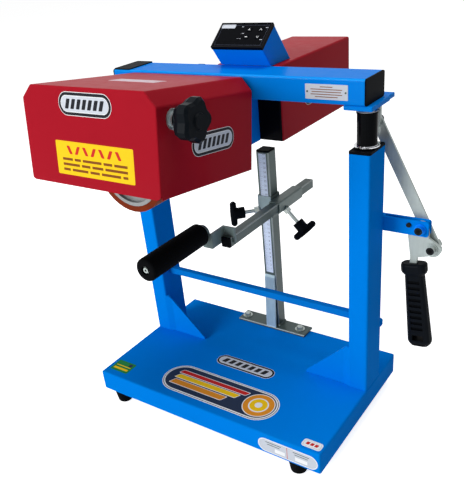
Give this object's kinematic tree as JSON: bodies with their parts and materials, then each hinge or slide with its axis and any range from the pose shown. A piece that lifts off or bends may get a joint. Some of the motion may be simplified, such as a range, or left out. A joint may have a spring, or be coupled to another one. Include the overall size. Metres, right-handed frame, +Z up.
{
  "type": "tabletop rotary heat transfer press",
  "caption": "Bench-top heat press for cups: a hot roller under a lifting sheet-metal cover on a lever-raised head, over a freewheeling mandrel on a clamped arm and column.",
  "frame": {"origin": "on the bench, under the middle of the press's outline at rest", "axes": "+Z up; -Y towards the user, who faces the mandrel's end; +X to the user's right, where the lever is"},
  "size_m": [0.6606, 0.647, 0.7689],
  "materials": {
    "blue_paint": "gloss powder coat",
    "red_paint": "gloss powder coat",
    "zinc_steel": "bright zinc plate",
    "lever_steel": "matt grey plate",
    "chrome_steel": "ground and chromed",
    "black_plastic": "moulded, satin",
    "black_gloss": "polished",
    "black_rubber": "matt",
    "silicone": "cast, matt",
    "aluminium": "mill finish",
    "black_steel": "blacked",
    "ruler_tape": "printed tape",
    "heater_steel": "heat tinted",
    "panel_black": "satin face"
  },
  "bodies": {
    "root": {"base_tray": "blue_paint", "column_brace": "zinc_steel", "column_cap": "black_plastic", "column_foot_plate": "zinc_steel", "column_tube": "zinc_steel", "foot_front_left": "black_rubber", "foot_front_right": "black_rubber", "foot_rear_left": "black_rubber", "foot_rear_right": "black_rubber", "guide_sleeve_left": "black_gloss", "guide_sleeve_right": "black_gloss", "lever_bracket": "blue_paint", "lever_pivot_bolt": "black_steel", "lever_stop_screw": "black_steel", "post_cap_left": "black_plastic", "post_cap_right": "black_plastic", "post_left": "blue_paint", "post_right": "blue_paint", "ruler_strip": "ruler_tape", "tie_bar": "blue_paint"},
    "head": {"beam": "blue_paint", "beam_end_cap_left": "black_plastic", "beam_end_cap_right": "black_plastic", "head_plate_left": "blue_paint", "head_plate_right": "blue_paint", "guide_rod_left": "chrome_steel", "guide_rod_right": "chrome_steel", "link_lug": "zinc_steel", "carrier_housing": "blue_paint", "shaft_bearing": "chrome_steel", "rear_cover": "red_paint", "rear_floor": "zinc_steel", "gear_motor": "aluminium", "control_housing": "blue_paint", "control_panel": "panel_black", "hinge_leaf_beam": "zinc_steel"},
    "cover": {"heater_cover": "red_paint", "hinge_leaf_cover": "zinc_steel", "reflector": "aluminium", "heater_element": "heater_steel"},
    "cover_knob": {"star_knob_front": "black_plastic"},
    "rear_knob": {"star_knob_rear": "black_plastic"},
    "roller": {"roller_sleeve": "silicone", "roller_core": "aluminium"},
    "lever": {"lever_plate": "lever_steel", "lever_grip": "black_plastic", "link_pivot_bolt": "black_steel"},
    "link": {"link_bar": "zinc_steel", "link_top_bolt": "black_steel"},
    "carriage": {"carriage_sleeves": "zinc_steel"},
    "arm": {"arm_tube": "zinc_steel", "arm_plug": "black_plastic", "offset_bar": "zinc_steel"},
    "mandrel": {"mandrel": "black_rubber"},
    "column_clamp": {"t_knob_left": "black_plastic"},
    "arm_clamp": {"t_knob_right": "black_plastic"},
    "key_up": {"key_up": "black_plastic"},
    "key_down": {"key_down": "black_plastic"},
    "key_set": {"key_set": "black_plastic"},
    "key_run": {"key_run": "black_plastic"}
  },
  "joints": [
    {"name": "head_lift", "type": "slide", "parent": "root", "child": "head", "axis": [0, 0, 1], "range_m": [0, 0.04975]},
    {"name": "lever_swing", "type": "hinge", "parent": "root", "child": "lever", "pos_m": [0.29219, 0.03335, 0.424], "axis": [0, -1, 0], "range_deg": [0, 90]},
    {"name": "link_swing", "type": "hinge", "parent": "lever", "child": "link", "pos_m": [0.31371, 0.04525, 0.38701], "axis": [0, 1, 0], "range_deg": [0, 85.99]},
    {"name": "roller_spin", "type": "hinge", "parent": "head", "child": "roller", "pos_m": [-0.07082, -0.06645, 0.601], "axis": [0, 1, 0], "continuous": true},
    {"name": "cover_tilt", "type": "hinge", "parent": "head", "child": "cover", "pos_m": [-0.05081, -0.05395, 0.6885], "axis": [-1, 0, 0], "range_deg": [0, 45]},
    {"name": "cover_knob_turn", "type": "hinge", "parent": "cover", "child": "cover_knob", "pos_m": [0.00958, -0.27088, 0.68263], "axis": [1, 0, 0], "continuous": true},
    {"name": "rear_knob_turn", "type": "hinge", "parent": "head", "child": "rear_knob", "pos_m": [-0.12032, 0.06455, 0.657], "axis": [-1, 0, 0], "continuous": true},
    {"name": "carriage_slide", "type": "slide", "parent": "root", "child": "carriage", "axis": [0, 0, 1], "range_m": [-0.12, 0.08]},
    {"name": "arm_slide", "type": "slide", "parent": "carriage", "child": "arm", "axis": [0, 1, 0], "range_m": [-0.045, 0.06]},
    {"name": "mandrel_spin", "type": "hinge", "parent": "arm", "child": "mandrel", "pos_m": [-0.07082, -0.06645, 0.423], "axis": [0, 1, 0], "continuous": true},
    {"name": "column_clamp_turn", "type": "hinge", "parent": "carriage", "child": "column_clamp", "pos_m": [-0.06882, 0.10255, 0.379], "axis": [-0.7071, -0.7071, 0], "continuous": true},
    {"name": "arm_clamp_turn", "type": "hinge", "parent": "carriage", "child": "arm_clamp", "pos_m": [-0.03861, 0.10355, 0.3956], "axis": [0.7071, 0, -0.7071], "continuous": true},
    {"name": "key_up_press", "type": "slide", "parent": "head", "child": "key_up", "axis": [0, 0.6088, -0.7934], "range_m": [0, 0.0008], "stiffness_N_per_m": 400},
    {"name": "key_down_press", "type": "slide", "parent": "head", "child": "key_down", "axis": [0, 0.6088, -0.7934], "range_m": [0, 0.0008], "stiffness_N_per_m": 400},
    {"name": "key_set_press", "type": "slide", "parent": "head", "child": "key_set", "axis": [0, 0.6088, -0.7934], "range_m": [0, 0.0008], "stiffness_N_per_m": 400},
    {"name": "key_run_press", "type": "slide", "parent": "head", "child": "key_run", "axis": [0, 0.6088, -0.7934], "range_m": [0, 0.0008], "stiffness_N_per_m": 400}
  ],
  "couplings": [
    {"joint": "lever_swing", "follows": "head_lift", "rad_per_m": 31.573},
    {"joint": "link_swing", "follows": "head_lift", "rad_per_m": 30.132}
  ]
}
